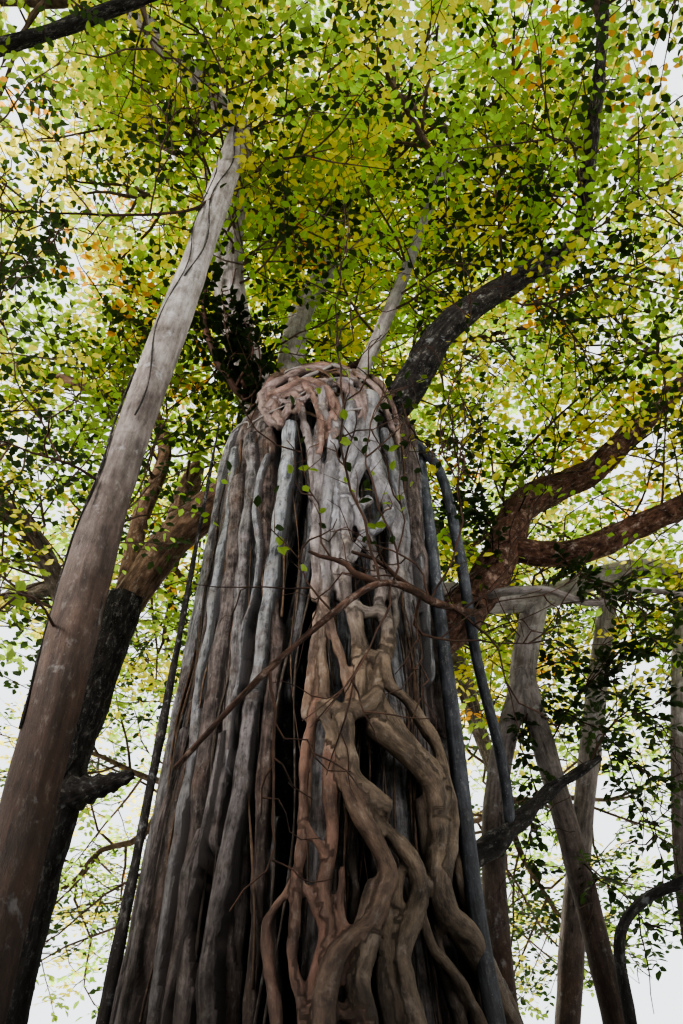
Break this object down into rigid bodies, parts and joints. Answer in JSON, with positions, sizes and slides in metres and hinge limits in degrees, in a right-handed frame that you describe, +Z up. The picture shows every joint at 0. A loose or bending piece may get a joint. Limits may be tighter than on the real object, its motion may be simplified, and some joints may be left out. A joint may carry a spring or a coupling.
{
  "type": "banyan tree",
  "caption": "Broad banyan tree: fluted trunk of fused roots, a lattice of roots over its front, pillar roots under long boughs, and a wide airy crown of foliage.",
  "frame": {"origin": "the middle of the flat cut under the trunk, at ground level", "axes": "+Z up; the root lattice and the view of the reference face -Y; +X to the right in that view"},
  "size_m": [24.605, 24.7768, 19.4049],
  "materials": {
    "trunk_bark": "grey-brown bark with pale lichen, dark in the grooves",
    "lattice_bark": "smooth tan root bark",
    "pale_bark": "smooth pale grey-pink bark with fine rings",
    "dark_bark": "rough blackish bark with white lichen specks",
    "red_bark": "rough scaly reddish-brown bark",
    "slate_bark": "blue-grey bark with pale dots",
    "foliage": "satin leaves, yellow-green to deep green, on thin dark twigs"
  },
  "bodies": {
    "root": {"trunk": "trunk_bark", "root_lattice": "lattice_bark", "second_stem": "dark_bark", "stem_link": "dark_bark", "left_pillar": "pale_bark", "right_prop": "pale_bark", "right_edge_pillar": "pale_bark", "leaning_pillar": "pale_bark", "back_pillar": "trunk_bark", "back_left_pillar": "trunk_bark", "far_left_pillar": "trunk_bark", "front_right_pillar": "trunk_bark", "thin_root": "dark_bark", "slate_root": "slate_bark", "hanging_root": "slate_bark", "curved_root": "dark_bark", "broken_limb": "dark_bark", "burl": "dark_bark", "front_branch": "red_bark", "low_left_branch": "dark_bark", "slim_limb": "pale_bark", "bough_low_1": "pale_bark", "bough_low_2": "trunk_bark", "bough_low_3": "trunk_bark", "bough_low_4": "trunk_bark", "bough_low_5": "trunk_bark", "bough_low_6": "trunk_bark", "bough_low_7": "trunk_bark", "bough_low_8": "red_bark", "bough_middle_1": "red_bark", "bough_middle_2": "trunk_bark", "bough_middle_3": "trunk_bark", "bough_middle_4": "trunk_bark", "bough_middle_5": "pale_bark", "bough_middle_6": "dark_bark", "bough_high_1": "pale_bark", "bough_high_2": "pale_bark", "bough_high_3": "pale_bark", "bough_high_4": "pale_bark", "bough_top": "pale_bark", "foliage_low_1": "foliage", "foliage_low_2": "foliage", "foliage_low_3": "foliage", "foliage_low_4": "foliage", "foliage_low_5": "foliage", "foliage_low_6": "foliage", "foliage_low_7": "foliage", "foliage_low_8": "foliage", "foliage_middle_1": "foliage", "foliage_middle_2": "foliage", "foliage_middle_3": "foliage", "foliage_middle_4": "foliage", "foliage_middle_5": "foliage", "foliage_middle_6": "foliage", "foliage_high_1": "foliage", "foliage_high_2": "foliage", "foliage_high_3": "foliage", "foliage_high_4": "foliage", "foliage_top": "foliage"}
  },
  "joints": []
}
